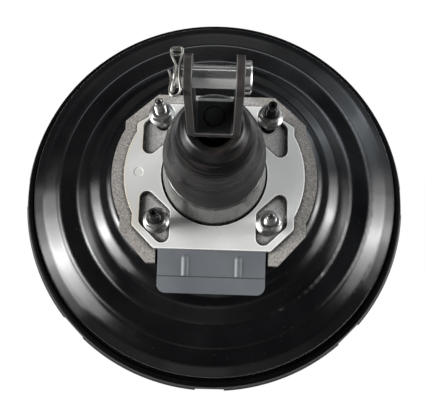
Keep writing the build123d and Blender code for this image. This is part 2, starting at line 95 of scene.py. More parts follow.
def soft_box(name, azimuth, low, high, wide, glow, tint=(1, 1, 1)):
    """Lamp a metre off over these angles in degrees, brightest in the middle, with this glow."""
    middle = math.radians((low + high) / 2)
    turn = math.radians(azimuth)
    flat = math.cos(middle)
    place = Vector((math.cos(turn) * flat, math.sin(turn) * flat, math.sin(middle)))
    for layer, (share, grow) in enumerate(BOX_LAYERS):
        data = bpy.data.lights.new(f"{name}_{layer}", "AREA")
        data.shape = "RECTANGLE"
        data.size = 2 * math.tan(math.radians(wide * grow / 2))
        data.size_y = 2 * math.tan(math.radians((high - low) / 2)) * (0.8 + 0.2 * grow)
        data.energy = 4 * glow * share * data.size * data.size_y
        data.color = tint
        lamp = bpy.data.objects.new(f"{name}_{layer}", data)
        lamp.location = place
        lamp.rotation_euler = place.to_track_quat("Z", "Y").to_euler()
        lamp.visible_camera = False
        bpy.context.scene.collection.objects.link(lamp)


soft_box("box_left", 192, 14, 46, 18, 31.0)
soft_box("box_left_foot", 192, -9, 12, 20, 8.0)
soft_box("box_right", 0, 14, 42, 15, 23.0)
soft_box("box_right_foot", 0, -9, 12, 17, 7.0)
soft_box("box_shoulder", 39, -6, 30, 16, 3.0, (0.85, 0.93, 1))
soft_box("box_shoulder_top", 48, 30, 52, 16, 7.0, (0.85, 0.93, 1))
soft_box("card_back", 88, -6, 26, 60, 0.5)
soft_box("card_front", -95, -9, 12, 60, 0.5)
soft_box("card_top_back", 90, 47, 54, 24, 2.0)


# ---- white paper and room ----
# The booster stands on a sheet of white paper in a dim grey room. To the camera both are plain
# white. Bright metal mirrors the white paper and the dim room.
def combine(tree, operation, first, second):
    """One value worked out from two others."""
    node = tree.nodes.new("ShaderNodeMath")
    node.operation = operation
    tree.links.new(first, node.inputs[0])
    tree.links.new(second, node.inputs[1])
    return node.outputs[0]


def seen_as_white(tree):
    """1 for the rays that show the paper: from the camera, mirrors and glass."""
    path = tree.nodes.new("ShaderNodeLightPath")
    seen = combine(tree, "MAXIMUM", path.outputs["Is Camera Ray"], path.outputs["Is Glossy Ray"])
    return combine(tree, "MAXIMUM", seen, path.outputs["Is Transmission Ray"])


paper = bpy.data.materials.new("paper")
paper.use_nodes = True
tree = paper.node_tree
tree.nodes.clear()
white = tree.nodes.new("ShaderNodeEmission")
white.inputs["Color"].default_value = (1, 1, 1, 1)
sheet = tree.nodes.new("ShaderNodeBsdfDiffuse")
sheet.inputs["Color"].default_value = (0.5, 0.5, 0.5, 1)
paper_mix = tree.nodes.new("ShaderNodeMixShader")
tree.links.new(seen_as_white(tree), paper_mix.inputs["Fac"])
tree.links.new(sheet.outputs[0], paper_mix.inputs[1])
tree.links.new(white.outputs[0], paper_mix.inputs[2])
paper_out = tree.nodes.new("ShaderNodeOutputMaterial")
tree.links.new(paper_mix.outputs[0], paper_out.inputs["Surface"])

PAPER_R = 270.0
PAPER_GAP = 0.2  # under the lowest point of the booster
bm = bmesh.new()
bmesh.ops.create_circle(bm, cap_ends=True, radius=PAPER_R * MM, segments=96)
bmesh.ops.translate(bm, verts=bm.verts, vec=(0, 0, cad_box[0][2] - PAPER_GAP * MM))
floor_mesh = bpy.data.meshes.new("floor")
bm.to_mesh(floor_mesh)
bm.free()
floor_mesh.materials.append(paper)
floor = bpy.data.objects.new("floor", floor_mesh)
bpy.context.scene.collection.objects.link(floor)

world = bpy.data.worlds.new("room")
world.use_nodes = True
bpy.context.scene.world = world
tree = world.node_tree
tree.nodes.clear()
wall = tree.nodes.new("ShaderNodeBackground")
wall.inputs["Color"].default_value = (1, 1, 1, 1)
room = tree.nodes.new("ShaderNodeBackground")
room.inputs["Color"].default_value = (0.035, 0.037, 0.04, 1)
path = tree.nodes.new("ShaderNodeLightPath")
room_mix = tree.nodes.new("ShaderNodeMixShader")
tree.links.new(path.outputs["Is Camera Ray"], room_mix.inputs["Fac"])
tree.links.new(room.outputs[0], room_mix.inputs[1])
tree.links.new(wall.outputs[0], room_mix.inputs[2])
room_out = tree.nodes.new("ShaderNodeOutputWorld")
tree.links.new(room_mix.outputs[0], room_out.inputs["Surface"])


# ---- front casing ----
# The half towards the master cylinder is one deep pressing, dipped in black enamel. Its edge is
# rolled over the rim of the rear half, and the flare below that is notched at eight places.
def noise(tree, scale, detail=5.0, stretch=(1, 1, 1)):
    """Noise over the piece's own millimetre space, drawn out along an axis by a small stretch."""
    coords = tree.nodes.new("ShaderNodeTexCoord")
    mapping = tree.nodes.new("ShaderNodeMapping")
    mapping.inputs["Scale"].default_value = stretch
    tree.links.new(coords.outputs["Object"], mapping.inputs["Vector"])
    texture = tree.nodes.new("ShaderNodeTexNoise")
    texture.inputs["Scale"].default_value = scale
    texture.inputs["Detail"].default_value = detail
    tree.links.new(mapping.outputs["Vector"], texture.inputs["Vector"])
    return texture.outputs["Fac"]


def span(tree, value, from_low, from_high, low=0.0, high=1.0):
    """A value carried over from one range to another, and held at its ends."""
    node = tree.nodes.new("ShaderNodeMapRange")
    tree.links.new(value, node.inputs["Value"])
    node.inputs["From Min"].default_value = from_low
    node.inputs["From Max"].default_value = from_high
    node.inputs["To Min"].default_value = low
    node.inputs["To Max"].default_value = high
    return node.outputs["Result"]


def patches(tree, scale, detail, low, high, most=1.0, stretch=(1, 1, 1)):
    """Ragged patches: 0 where a noise is under low, rising to the most where it passes high."""
    return span(tree, noise(tree, scale, detail, stretch), low, high, 0, most)


def finish(name, dark, light, rough, metal=0.0, cloud=40.0, stretch=(1, 1, 1), **sockets):
    """Material whose colour and roughness drift together from dark to light."""
    material = bpy.data.materials.new(name)
    material.use_nodes = True
    tree = material.node_tree
    shader = tree.nodes["Principled BSDF"]
    shader.inputs["Metallic"].default_value = metal
    for socket, value in sockets.items():
        shader.inputs[socket.replace("_", " ")].default_value = value
    drift = noise(tree, cloud, 6.0, stretch)
    ramp = tree.nodes.new("ShaderNodeValToRGB")
    ramp.color_ramp.elements[0].position = 0.32
    ramp.color_ramp.elements[1].position = 0.68
    ramp.color_ramp.elements[0].color = (*dark, 1)
    ramp.color_ramp.elements[1].color = (*light, 1)
    tree.links.new(drift, ramp.inputs["Fac"])
    tree.links.new(ramp.outputs["Color"], shader.inputs["Base Color"])
    tree.links.new(span(tree, drift, 0.3, 0.7, *rough), shader.inputs["Roughness"])
    return material


def relief(material, height, depth, strength=1.0):
    """Small relief in millimetres, laid over any that the material has."""
    tree = material.node_tree
    normal = tree.nodes["Principled BSDF"].inputs["Normal"]
    bump = tree.nodes.new("ShaderNodeBump")
    bump.inputs["Strength"].default_value = strength
    bump.inputs["Distance"].default_value = depth * MM
    tree.links.new(height, bump.inputs["Height"])
    if normal.is_linked:
        tree.links.new(normal.links[0].from_socket, bump.inputs["Normal"])
    tree.links.new(bump.outputs["Normal"], normal)


def cover(material, mask, colour=None, rough=None):
    """Another colour or roughness where the mask is 1."""
    tree = material.node_tree
    shader = tree.nodes["Principled BSDF"]
    if colour:
        mix = tree.nodes.new("ShaderNodeMix")
        mix.data_type = "RGBA"
        tree.links.new(mask, mix.inputs[0])
        tree.links.new(shader.inputs["Base Color"].links[0].from_socket, mix.inputs[6])
        mix.inputs[7].default_value = (*colour, 1)
        tree.links.new(mix.outputs[2], shader.inputs["Base Color"])
    if rough is not None:
        mix = tree.nodes.new("ShaderNodeMix")
        tree.links.new(mask, mix.inputs[0])
        tree.links.new(shader.inputs["Roughness"].links[0].from_socket, mix.inputs[2])
        mix.inputs[3].default_value = rough
        tree.links.new(mix.outputs[0], shader.inputs["Roughness"])


def paint(material, *names):
    """Puts the finish on CAD nodes."""
    for name in names:
        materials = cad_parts[name].data.materials
        materials.clear()
        materials.append(material)


def soften(material, radius):
    """Makes the edges of a piece catch the light as if broken by this radius in millimetres."""
    tree = material.node_tree
    bevel = tree.nodes.new("ShaderNodeBevel")
    bevel.samples = 4
    bevel.inputs["Radius"].default_value = radius * MM
    tree.links.new(bevel.outputs["Normal"], tree.nodes["Principled BSDF"].inputs["Normal"])


def enamel(name, rough, shine, radius):
    """Dipped black enamel: faint orange peel, with specks of dust dried in."""
    black, worn, dust = (0.0014, 0.0014, 0.0016), (0.0028, 0.0028, 0.0031), (0.03, 0.03, 0.03)
    material = finish(name, black, worn, rough, cloud=25, Specular_IOR_Level=shine)
    tree = material.node_tree
    soften(material, radius)
    relief(material, noise(tree, 350, 2), 0.02, 0.25)
    relief(material, noise(tree, 60, 2), 0.06, 0.25)
    cover(material, patches(tree, 900, 0, 0.85, 0.88), dust, 0.4)
    return material


paint(enamel("rim_enamel", (0.28, 0.38), 0.06, 0.8), "front_shell")

# ---- seat of the master cylinder ----
# Inside the nose a pressed steel ring spreads the load of the cylinder's two studs. A lip seal
# runs on the output rod, whose round tip screws in and out to set its length.
pressed_steel = finish("pressed_steel", (0.32, 0.30, 0.24), (0.46, 0.43, 0.34), (0.3, 0.45), 0.9)
relief(pressed_steel, noise(pressed_steel.node_tree, 500, 3, (1, 1, 0.2)), 0.03, 0.3)
paint(pressed_steel, "stiffener")

seal_rubber = finish("seal_rubber", (0.012, 0.012, 0.012), (0.022, 0.021, 0.02), (0.45, 0.6))
relief(seal_rubber, noise(seal_rubber.node_tree, 700, 3), 0.03, 0.4)
paint(seal_rubber, "front_seal")

turned_steel = finish("turned_steel", (0.2, 0.19, 0.18), (0.32, 0.31, 0.3), (0.25, 0.4), 1.0)
relief(turned_steel, noise(turned_steel.node_tree, 400, 3, (0.1, 0.1, 1)), 0.02, 0.3)
paint(turned_steel, "output_rod", "adjuster_tip")


# ---- vacuum check valve ----
# Straight black nylon valve pushed into a rubber grommet in the nose. A rubber disc lifts off
# its seat against a light spring as the engine draws air out.
HOUSING = "housing"  # the frame's body for all that is fixed to the casing
COIL_STEPS = 40  # in one turn of a spring


def smooth(bm, name, material, crease=35.0):
    """Ends a bmesh as a smooth-shaded piece in that finish."""
    bmesh.ops.recalc_face_normals(bm, faces=bm.faces)
    mesh = bpy.data.meshes.new(name)
    bm.to_mesh(mesh)
    bm.free()
    mesh.polygons.foreach_set("use_smooth", [True] * len(mesh.polygons))
    mesh.set_sharp_from_angle(angle=math.radians(crease))
    mesh.materials.append(material)
    piece = bpy.data.objects.new(name, mesh)
    bpy.context.scene.collection.objects.link(piece)
    return piece


def coil(name, radius, wire, low, high, turns, material):
    """Round-wire spring between two heights in millimetres, its ends cut square."""
    bm = bmesh.new()
    bmesh.ops.create_circle(bm, cap_ends=False, radius=wire * MM, segments=10)
    upright = Matrix.Rotation(math.pi / 2, 4, "X")
    bmesh.ops.transform(bm, matrix=upright, verts=bm.verts)
    inset = 1.1 * wire
    bmesh.ops.translate(bm, verts=bm.verts, vec=(radius * MM, 0, (low + inset) * MM))
    steps = turns * COIL_STEPS
    bmesh.ops.spin(
        bm,
        geom=bm.verts[:] + bm.edges[:],
        cent=(0, 0, 0),
        axis=(0, 0, 1),
        dvec=(0, 0, (high - low - 2 * inset) * MM / steps),
        angle=math.tau * turns,
        steps=steps,
    )
    ends = [edge for edge in bm.edges if edge.is_boundary]
    bmesh.ops.holes_fill(bm, edges=ends, sides=0)
    return smooth(bm, name, material, 60)


spring_wire = finish("spring_wire", (0.06, 0.06, 0.06), (0.14, 0.14, 0.14), (0.3, 0.45), 0.9)
relief(spring_wire, noise(spring_wire.node_tree, 900, 2), 0.02, 0.3)

VALVE_X, VALVE_Y = 58.0, 70.0
valve_low, valve_high = (corner[2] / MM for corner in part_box("check_valve_spring"))
valve_spring = coil("valve_spring", 4.0, 0.45, valve_low, valve_high, 4, spring_wire)
valve_spring.data.transform(Matrix.Translation((VALVE_X * MM, VALVE_Y * MM, 0)))
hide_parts("check_valve_spring")
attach(valve_spring, HOUSING)
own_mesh(valve_spring)

paint(seal_rubber, "valve_grommet", "check_valve_disc")
nylon = finish("nylon", (0.012, 0.012, 0.013), (0.02, 0.02, 0.021), (0.3, 0.4))
relief(nylon, noise(nylon.node_tree, 600, 3), 0.02, 0.3)
paint(nylon, "check_valve_body")

# ---- main spring ----
# A heavy coil of round wire stands between the nose and the piston's hub. It pushes the piston
# back to rest. The real coil shortens by the whole of the piston's stroke; this one is built at
# rest and keeps its length.
main_low, main_high = (corner[2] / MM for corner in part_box("main_spring"))
return_spring = coil("return_spring", 29.0, 2.1, main_low, main_high, 6, spring_wire)
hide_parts("main_spring")
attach(return_spring, HOUSING)
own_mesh(return_spring)


# ---- power piston and diaphragm ----
# Phenolic moulding with a dished steel plate and a rubber diaphragm, whose lobe rolls from the
# plate's rim to a bead clamped between the casings. A spring plate holds the output rod's cup on
# the hub, with the rubber reaction disc in it.
PISTON = "piston"  # the frame's body for all that slides with the piston
DIAPHRAGM_WALL = 1.4


def rounded(corners, steps=6):
    """Open line through (radius, z) corners; a third value rounds the corner by that radius."""
    out = [Vector(corners[0][:2])]
    for before, corner, after in zip(corners, corners[1:], corners[2:]):
        here = Vector(corner[:2])
        if len(corner) < 3:
            out.append(here)
            continue
        radius = corner[2]
        back = (Vector(before[:2]) - here).normalized()
        on = (Vector(after[:2]) - here).normalized()
        half = back.angle(on) / 2
        run = radius / math.tan(half)
        middle = here + (back + on).normalized() * (radius / math.sin(half))
        first = here + back * run - middle
        sweep = first.angle_signed(here + on * run - middle)
        out += [middle + Matrix.Rotation(-sweep * k / steps, 2) @ first for k in range(steps + 1)]
    return out + [Vector(corners[-1][:2])]


def revolve(bm, outline, steps, rise=0.0):
    """Spins a line of (radius, z) millimetres one turn about the axis, climbing by the rise."""
    line = [bm.verts.new((radius * MM, 0, z * MM)) for radius, z in outline]
    run = [bm.edges.new(pair) for pair in zip(line, line[1:])]
    bmesh.ops.spin(
        bm,
        geom=line + run,
        cent=(0, 0, 0),
        axis=(0, 0, 1),
        dvec=(0, 0, rise * MM / steps),
        angle=math.tau,
        steps=steps,
        use_merge=not rise,
    )


def turned(name, outline, wall, material, steps=160):
    """Line of (radius, z) in millimetres spun about the axis and thickened to a wall."""
    bm = bmesh.new()
    revolve(bm, outline, steps)
    bmesh.ops.recalc_face_normals(bm, faces=bm.faces)
    bmesh.ops.solidify(bm, geom=bm.faces[:], thickness=-wall * MM)
    return smooth(bm, name, material)


resin = finish("resin", (0.02, 0.016, 0.012), (0.035, 0.028, 0.02), (0.35, 0.5))
relief(resin, noise(resin.node_tree, 300, 4), 0.04, 0.3)
paint(resin, "power_piston")
paint(pressed_steel, "diaphragm_plate", "rod_retainer")
paint(seal_rubber, "reaction_disc")

rolling_sheet = turned(
    "rolling_sheet",
    rounded([(48, -40.55), (92.3, -40.55, 12), (124.9, -54.6, 4), (129.6, -62, 2), (129.6, -64)]),
    DIAPHRAGM_WALL,
    seal_rubber,
)
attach(rolling_sheet, PISTON)
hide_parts("diaphragm")
rolling_lobe = turned(
    "rolling_lobe",
    rounded([(129.6, -64.2), (129.6, -73.6, 2.8), (135.6, -73.6, 2.8), (135.6, -66, 1), (143, -66)]),
    DIAPHRAGM_WALL,
    seal_rubber,
)
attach(rolling_lobe, HOUSING)
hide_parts("diaphragm")

# ---- control valve ----
# In the piston's tail a steel plunger meets a rubber poppet, which a pressed cup and a light
# spring hold. A forked key stops the plunger, and air comes in through a felt filter.
paint(turned_steel, "valve_plunger")
paint(seal_rubber, "poppet_valve")
paint(pressed_steel, "stop_key", "poppet_retainer")
paint(spring_wire, "poppet_spring")
felt = finish("felt", (0.22, 0.2, 0.16), (0.4, 0.36, 0.3), (0.9, 1.0), cloud=300)
relief(felt, noise(felt.node_tree, 1500, 4, (1, 1, 0.3)), 0.2, 0.8)
paint(felt, "tail_filter")

# ---- push rod's return spring ----
# A light coil in the piston's tail. It holds the push rod back against the stop key, and has
# room round the collar's hub for the rod to swivel.
ROD_SPRING_GAP = 0.9  # under the collar
rod_low, rod_high = (corner[2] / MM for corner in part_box("input_return_spring"))
rod_spring = coil("rod_spring", 10.2, 0.7, rod_low, rod_high - ROD_SPRING_GAP, 6, spring_wire)
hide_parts("input_return_spring")
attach(rod_spring, PISTON)
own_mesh(rod_spring)
paint(turned_steel, "spring_collar")


# ---- rear casing ----
# The half towards the firewall is drawn in stiff steps and finished in the same black enamel,
# glossier than the front. Along two steps, away from the tab, a fine grey line is painted into the
# enamel as a highlight of the steps' edges.
STEP_RADII = 104.6, 118.6
GLINT_FROM, PAST_RIM = 75, 400  # heights along Y, which points away from the tab


def band(tree, axis, low, high, soft):
    """1 between two heights in millimetres along an axis of the booster, soft at both ends."""
    coords = tree.nodes.new("ShaderNodeTexCoord")
    split = tree.nodes.new("ShaderNodeSeparateXYZ")
    tree.links.new(coords.outputs["Object"], split.inputs[0])
    value = split.outputs[axis]
    start = span(tree, value, (low - soft) * MM, (low + soft) * MM)
    end = span(tree, value, (high + soft) * MM, (high - soft) * MM)
    return combine(tree, "MULTIPLY", start, end)


def distance(tree, share=(1, 1, 1)):
    """Distance from the booster's origin in metres, with this share of each axis."""
    coords = tree.nodes.new("ShaderNodeTexCoord")
    weigh = tree.nodes.new("ShaderNodeVectorMath")
    weigh.operation = "MULTIPLY"
    weigh.inputs[1].default_value = share
    tree.links.new(coords.outputs["Object"], weigh.inputs[0])
    length = tree.nodes.new("ShaderNodeVectorMath")
    length.operation = "LENGTH"
    tree.links.new(weigh.outputs[0], length.inputs[0])
    return length.outputs["Value"]


casing_enamel = enamel("casing_enamel", (0.13, 0.22), 0.72, 3.0)
tree = casing_enamel.node_tree
reach = distance(tree, (1, 1, 0))
away_from_tab = band(tree, "Y", GLINT_FROM, PAST_RIM, 60)
# painted highlight: a fine grey ring along each step, on the side away from the tab
for radius in STEP_RADII:
    inner = span(tree, reach, (radius - 0.7) * MM, (radius - 0.2) * MM)
    outer = span(tree, reach, (radius + 0.7) * MM, (radius + 0.2) * MM)
    ring = combine(tree, "MULTIPLY", inner, outer)
    step_glint = combine(tree, "MULTIPLY", ring, away_from_tab)
    cover(casing_enamel, step_glint, (0.08, 0.083, 0.09), 0.5)
paint(casing_enamel, "rear_shell")

# ---- guide sleeve ----
# Bare drawn steel tube, streaked faintly upright, that carries the boot. Inside it the piston's
# tail slides in a nylon bearing and a rubber lip seal, which a pressed ring holds down.
sleeve_steel = finish(
    "sleeve_steel", (0.14, 0.14, 0.13), (0.25, 0.25, 0.24), (0.22, 0.34), 0.8, 160, (1, 1, 0.06)
)
relief(sleeve_steel, noise(sleeve_steel.node_tree, 700, 3, (1, 1, 0.04)), 0.02, 0.4)
paint(sleeve_steel, "guide_sleeve")
bearing_nylon = finish("bearing_nylon", (0.5, 0.46, 0.35), (0.6, 0.56, 0.44), (0.4, 0.5))
relief(bearing_nylon, noise(bearing_nylon.node_tree, 500, 3), 0.02, 0.3)
paint(bearing_nylon, "tail_bearing")
paint(seal_rubber, "tail_seal")
paint(pressed_steel, "seal_retainer")

# ---- gasket ----
# Die-cut pad of closed-cell foam between the casing and the plate, speckled grey and brown, with
# a rough skin. In the plate's windows it is painted lighter and greyer, as fill light for the shade
# of the window walls, and close to the plate's walls it is painted dark as shade.
FILL_FULL_R, FILL_END_R = 62.0, 65.5
gasket_pad = finish("gasket_pad", (0.15, 0.14, 0.13), (0.27, 0.255, 0.235), (0.75, 0.95), 0, 500)
tree = gasket_pad.node_tree
# painted light: lighter grey foam inside the plate's windows, where the walls shade it
window_fill = span(tree, distance(tree), FILL_END_R * MM, FILL_FULL_R * MM, 0, 0.45)
cover(gasket_pad, window_fill, (0.5, 0.5, 0.5))
# painted shade: dark foam close to the plate's walls, found by ambient occlusion
shade = tree.nodes.new("ShaderNodeAmbientOcclusion")
shade.samples = 8
shade.inputs["Distance"].default_value = 4 * MM
cover(gasket_pad, span(tree, shade.outputs["AO"], 0.92, 0.7), (0.03, 0.028, 0.026))
dark_grit, pale_grit = (0.09, 0.085, 0.08), (0.42, 0.39, 0.355)
cover(gasket_pad, patches(tree, 1100, 2, 0.52, 0.62, 0.65), dark_grit)
cover(gasket_pad, patches(tree, 950, 2, 0.54, 0.64, 0.6), pale_grit)
relief(gasket_pad, noise(tree, 900, 3), 0.3, 0.9)
paint(gasket_pad, "gasket")


# ---- mounting plate ----
# Thick blanked steel plate that bears on the firewall, zinc plated to a clean satin. A near-white
# highlight is painted along its edges, and the left edge has yellowed a little.
def edges(tree, radius, sharp=0.75):
    """1 along a piece's edges, within a radius in millimetres; nearer 1, sharp takes in more."""
    bevel = tree.nodes.new("ShaderNodeBevel")
    bevel.samples = 4
    bevel.inputs["Radius"].default_value = radius * MM
    geometry = tree.nodes.new("ShaderNodeNewGeometry")
    turn = tree.nodes.new("ShaderNodeVectorMath")
    turn.operation = "DOT_PRODUCT"
    tree.links.new(bevel.outputs["Normal"], turn.inputs[0])
    tree.links.new(geometry.outputs["Normal"], turn.inputs[1])
    return span(tree, turn.outputs["Value"], 0.99, sharp)


zinc_plate = finish("zinc_plate", (0.52, 0.52, 0.505), (0.6, 0.6, 0.585), (0.42, 0.54), 0.25, 22)
tree = zinc_plate.node_tree
dulled, edge_highlight, yellowed = (0.4, 0.4, 0.39), (1.0, 0.99, 0.95), (0.62, 0.47, 0.27)
cover(zinc_plate, patches(tree, 90, 6, 0.6, 0.75, 0.35), dulled, 0.55)
soften(zinc_plate, 0.5)
relief(zinc_plate, noise(tree, 1200, 2), 0.01, 0.3)
# painted highlight: near-white along the plate's edges
cover(zinc_plate, edges(tree, 1.5, 0.93), edge_highlight, 0.4)
left_edge = combine(tree, "MULTIPLY", edges(tree, 4.0, 0.95), band(tree, "X", -75, -50, 5.0))
cover(zinc_plate, span(tree, left_edge, 0, 1, 0, 0.55), yellowed)
paint(zinc_plate, "mounting_plate")

# ---- tab bracket ----
# Thin sheet clamped under the plate, with a bent tab that two pressed ribs stiffen. It is grey
# with a phosphate finish.
CREASE_Y = -72.6
phosphate = finish("phosphate", (0.095, 0.103, 0.112), (0.115, 0.123, 0.132), (0.42, 0.55), 0.2, 30)
soften(phosphate, 0.4)
relief(phosphate, noise(phosphate.node_tree, 1000, 3), 0.02, 0.4)
cover(phosphate, edges(phosphate.node_tree, 0.4), (0.2, 0.21, 0.22), 0.4)
# painted shade: a dark line along the tab's bend, where the concave fold is shaded
crease = band(phosphate.node_tree, "Y", CREASE_Y - 0.3, CREASE_Y + 0.3, 0.2)
cover(phosphate, crease, (0.012, 0.013, 0.014), 0.6)
paint(phosphate, "tab_bracket")

# ---- studs ----
# Four M8 studs pressed into the rear casing from inside stand in the plate's windows, two zinc
# plated and two black. Each has a dog point with a small socket in its end. The cylinder's two
# studs are zinc plated too.
HALF_SQUARE = 38.0  # the studs stand on a square of 76 mm
HEAD_R, HEAD_LOW, HEAD_HIGH = 8.5, -13.1, -8.6
THREAD_CREST, THREAD_ROOT, THREAD_PITCH = 4.0, 3.4, 1.25
THREAD_LOW, THREAD_HIGH = 13.0, 31.6
DOG_R, SOCKET_R, TIP_Z = 3.1, 1.6, 38.0


def untagged(bm):
    """Vertices that were added since the last ones were put in place."""
    return [vert for vert in bm.verts if not vert.tag]


def put_in_place(bm, x, y):
    """Moves the untagged vertices to an upright axis at x, y in millimetres, and tags them."""
    added = untagged(bm)
    bmesh.ops.translate(bm, verts=added, vec=(x * MM, y * MM, 0))
    for vert in added:
        vert.tag = True


def spun(bm, outline, x, y):
    """Adds a (radius, z) outline that ends on its axis, spun about an upright one at x, y."""
    revolve(bm, outline, 32)
    bmesh.ops.remove_doubles(bm, verts=untagged(bm), dist=1e-6)
    put_in_place(bm, x, y)


def thread(bm, low, high, x, y):
    """Adds a screw thread: a zigzag spun one turn while it rises by one pitch."""
    count = int((high - low) / THREAD_PITCH)
    line = []
    for base in (low + i * THREAD_PITCH for i in range(count)):
        line.append((THREAD_ROOT, base))
        line.append((THREAD_CREST, base + 0.45 * THREAD_PITCH))
        line.append((THREAD_CREST, base + 0.6 * THREAD_PITCH))
    line.append((THREAD_ROOT, low + count * THREAD_PITCH))
    revolve(bm, line, 28, THREAD_PITCH)
    bmesh.ops.remove_doubles(bm, verts=untagged(bm), dist=1e-6)
    ends = [edge for edge in bm.edges if edge.is_boundary and not edge.verts[0].tag]
    bmesh.ops.holes_fill(bm, edges=ends, sides=0)
    put_in_place(bm, x, y)


def stud(bm, x, y):
    """One firewall stud, from its pressed head to its dog point."""
    shank = [
        (0, HEAD_LOW),
        (HEAD_R, HEAD_LOW),
        (HEAD_R, HEAD_HIGH),
        (THREAD_CREST, HEAD_HIGH),
        (THREAD_CREST, THREAD_LOW - 0.4),
        (THREAD_ROOT, THREAD_LOW + 0.2),
        (0, THREAD_LOW + 0.2),
    ]
    dog_point = [
        (0, THREAD_HIGH - 0.6),
        (THREAD_ROOT, THREAD_HIGH - 0.6),
        (THREAD_ROOT, THREAD_HIGH + 1.2),
        (DOG_R, THREAD_HIGH + 1.6),
        (DOG_R, TIP_Z - 0.6),
        (DOG_R - 0.5, TIP_Z),
        (SOCKET_R + 0.2, TIP_Z),
        (SOCKET_R, TIP_Z - 0.2),
        (SOCKET_R, TIP_Z - 3.0),
        (0, TIP_Z - 3.6),
    ]
    spun(bm, shank, x, y)
    thread(bm, THREAD_LOW, THREAD_HIGH, x, y)
    spun(bm, dog_point, x, y)


zinc = finish("zinc", (0.26, 0.26, 0.25), (0.48, 0.48, 0.46), (0.24, 0.36), 0.95, 200)
relief(zinc, noise(zinc.node_tree, 500, 3), 0.04, 0.4)
black_oxide = finish("black_oxide", (0.006, 0.006, 0.006), (0.015, 0.015, 0.015), (0.22, 0.34), 0.3)
relief(black_oxide, noise(black_oxide.node_tree, 900, 3), 0.015, 0.3)

bm = bmesh.new()
stud(bm, -HALF_SQUARE, HALF_SQUARE)
stud(bm, HALF_SQUARE, -HALF_SQUARE)
bright_studs = smooth(bm, "bright_studs", zinc)
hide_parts("zinc_studs")
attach(bright_studs, HOUSING)
bm = bmesh.new()
stud(bm, HALF_SQUARE, HALF_SQUARE)
stud(bm, -HALF_SQUARE, -HALF_SQUARE)
dark_studs = smooth(bm, "dark_studs", black_oxide)
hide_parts("black_studs")
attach(dark_studs, HOUSING)
paint(zinc, "cylinder_studs")


# ---- flange nuts ----
# M8 hexagon nuts, 13 mm across flats, with a wide flange. They are run part of the way down the
# studs, as a new booster is delivered.
HALF_FLATS, FLANGE_R, NUT_HIGH, BORE = 6.5, 8.95, 8.0, 4.02
CHAMFER_R, CHAMFER_FALL = 6.3, 0.6  # where the chamfer starts, and how steeply it falls
NUT_PLACES = (
    (-HALF_SQUARE, HALF_SQUARE, 14.0, 12),  # x, y, underside, degrees turned
    (HALF_SQUARE, HALF_SQUARE, 15.0, 40),
    (-HALF_SQUARE, -HALF_SQUARE, 14.5, 3),
    (HALF_SQUARE, -HALF_SQUARE, 15.5, 25),
)


def nut_outline(angle):
    """A nut cut in that direction: (radius, z) up its outside, over it and down its bore."""
    side = HALF_FLATS / math.cos((angle + math.pi / 6) % (math.pi / 3) - math.pi / 6)
    return [
        (BORE, 0.4),
        (BORE + 0.5, 0.0),
        (FLANGE_R - 0.3, 0.0),
        (FLANGE_R, 0.4),
        (FLANGE_R, 1.0),
        (8.3, 1.6),
        (side + 0.15, 2.3),
        (side, 2.6),
        (side, NUT_HIGH - (side - CHAMFER_R) * CHAMFER_FALL),
        (CHAMFER_R - 0.1, NUT_HIGH),
        (BORE + 0.7, NUT_HIGH),
        (BORE, NUT_HIGH - 0.6),
        (BORE, 0.4),
    ]


def flange_nut(bm, x, y, seat, turn):
    """Adds one nut: a ring is drawn through each point of its outline."""
    verts = bmesh.ops.create_circle(bm, cap_ends=False, radius=1, segments=72)["verts"]
    loop = list(dict.fromkeys(edge for vert in verts for edge in vert.link_edges))
    added = []
    for index in range(len(nut_outline(0))):
        if index:
            made = bmesh.ops.extrude_edge_only(bm, edges=loop)["geom"]
            verts = [item for item in made if isinstance(item, bmesh.types.BMVert)]
            sides = [item for item in made if isinstance(item, bmesh.types.BMEdge)]
            loop = [edge for edge in sides if all(vert in verts for vert in edge.verts)]
        added += verts
        for vert in verts:
            angle = math.atan2(vert.co.y, vert.co.x)
            radius, z = nut_outline(angle)[index]
            vert.co = (radius * MM * math.cos(angle), radius * MM * math.sin(angle), z * MM)
    bmesh.ops.rotate(bm, verts=added, cent=(0, 0, 0), matrix=Matrix.Rotation(turn, 3, "Z"))
    bmesh.ops.translate(bm, verts=added, vec=(x * MM, y * MM, seat * MM))


bm = bmesh.new()
for x, y, seat, turn in NUT_PLACES:
    flange_nut(bm, x, y, seat, math.radians(turn))
bmesh.ops.remove_doubles(bm, verts=bm.verts, dist=1e-6)
nut_zinc = finish("nut_zinc", (0.2, 0.2, 0.195), (0.38, 0.38, 0.37), (0.26, 0.4), 0.95, 220)
tree = nut_zinc.node_tree
soften(nut_zinc, 0.3)
relief(nut_zinc, noise(tree, 500, 3), 0.05, 0.5)
cover(nut_zinc, patches(tree, 300, 4, 0.55, 0.7), (0.1, 0.09, 0.08), 0.5)
cover(nut_zinc, edges(tree, 0.5), (0.7, 0.7, 0.68), 0.35)
nuts = smooth(bm, "flange_nuts", nut_zinc, 25)
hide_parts("stud_nuts")
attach(nuts, HOUSING)

